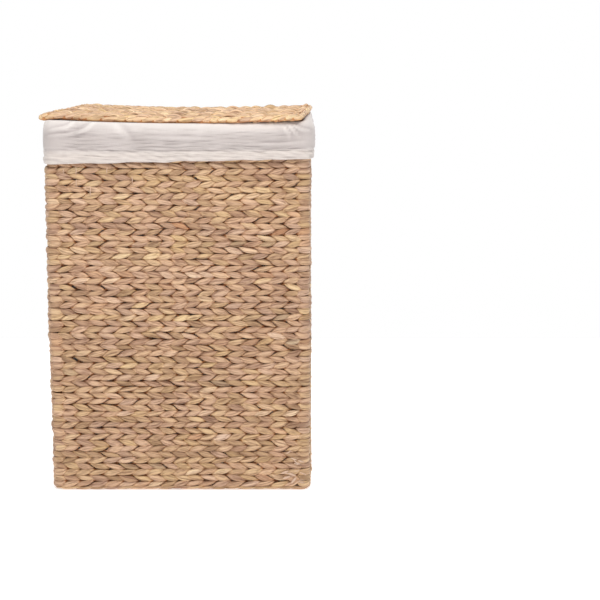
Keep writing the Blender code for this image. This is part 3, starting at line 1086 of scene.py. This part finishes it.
bundle = Bundle()
ring_x, ring_y, _, _ = lid_at(np.linspace(0, lid_total, 320, endpoint=False))
wire(bundle, in_lid(ring_x, ring_y), LID_ROD_RADIUS, True)
stake_y = np.linspace(-1, 1, 30) * (LID_HALF_Y - 0.012)
for k in range(1, STAKES_X):
    stake_x = np.full_like(stake_y, (2 * k / STAKES_X - 1) * (LID_HALF_X - 0.007))
    wire(bundle, in_lid(stake_x, stake_y), STAKE_RADIUS, False)
lid_wires = bundle.build("lid_wires", STEEL)
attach(lid_wires, "lid")
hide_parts("lid_ring", "lid_stakes")

frayed = loose_fibres()
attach(frayed, "basket")

lining = liner()
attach(lining, "liner")
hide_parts("liner_bag", "liner_hem", "hem_elastic")

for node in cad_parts.values():
    if not node.hide_render:
        node.data.materials.clear()
        node.data.materials.append(STEEL)


# Floor, backdrop, light and camera


def studio():
    scene = bpy.context.scene
    scene.view_settings.view_transform = "Standard"
    world = bpy.data.worlds.new("studio")
    scene.world = world
    world.use_nodes = True
    nodes, links = world.node_tree.nodes, world.node_tree.links
    background = nodes["Background"]
    background.inputs["Color"].default_value = (1.0, 1.0, 1.0, 1)
    # White where the camera sees past the floor, and dimmer as a light
    rays = nodes.new("ShaderNodeLightPath")
    seen = nodes.new("ShaderNodeMapRange")
    seen.inputs["To Min"].default_value = 0.30
    seen.inputs["To Max"].default_value = 1.0
    links.new(rays.outputs["Is Camera Ray"], seen.inputs["Value"])
    links.new(seen.outputs[0], background.inputs["Strength"])

    made, _, _, shader = new_material("studio_white")
    shader.inputs["Base Color"].default_value = (0.92, 0.92, 0.92, 1)
    shader.inputs["Emission Color"].default_value = (1, 1, 1, 1)
    shader.inputs["Emission Strength"].default_value = 0.50
    shader.inputs["Roughness"].default_value = 0.9
    shader.inputs["Specular IOR Level"].default_value = 0.0

    # The backdrop only lights the basket. The camera sees through it, also when it stands behind it.
    half_width, back, height, bend, steps = 30.0, 2.2, 6.0, 1.0, 12
    ground = [(-half_width, 0.0), (back - bend, 0.0)]
    angles = [math.pi / 2 * k / steps for k in range(1, steps + 1)]
    curve = [(back - bend + bend * math.sin(a), bend - bend * math.cos(a)) for a in angles]
    backdrop = [ground[-1]] + curve + [(back, height)]
    for name, profile, seen_by_camera in (
        ("studio_floor", ground, True),
        ("studio_backdrop", backdrop, False),
    ):
        data = bpy.data.meshes.new(name)
        n = len(profile)
        points = [(x, y, z) for x in (-half_width, half_width) for y, z in profile]
        data.from_pydata(points, [], [(k, k + n, k + n + 1, k + 1) for k in range(n - 1)])
        data.polygons.foreach_set("use_smooth", [True] * (n - 1))
        data.materials.append(made)
        screen = bpy.data.objects.new(name, data)
        scene.collection.objects.link(screen)
        screen.visible_camera = seen_by_camera

    aim = Vector((0, 0, 0.4))
    for name, place, size, power, colour in (
        ("top_light", (0.1, -1.3, 2.4), 1.3, 40, (1.0, 0.99, 0.97)),
        ("front_light", (0.0, -3.2, 0.9), 1.6, 9, (1.0, 0.99, 0.98)),
    ):
        light = bpy.data.lights.new(name, "AREA")
        light.size = size
        light.energy = power
        light.color = colour
        lamp = bpy.data.objects.new(name, light)
        scene.collection.objects.link(lamp)
        lamp.location = place
        lamp.rotation_euler = (aim - Vector(place)).to_track_quat("-Z", "Y").to_euler()

    view = bpy.data.cameras.new("camera")
    view.sensor_width = 36
    view.lens = 99.6
    eye = bpy.data.objects.new("camera", view)
    scene.collection.objects.link(eye)
    eye.location = (0.202, -2.918, 0.790)
    eye.rotation_euler = (math.radians(80.50), 0, 0)
    scene.camera = eye


studio()
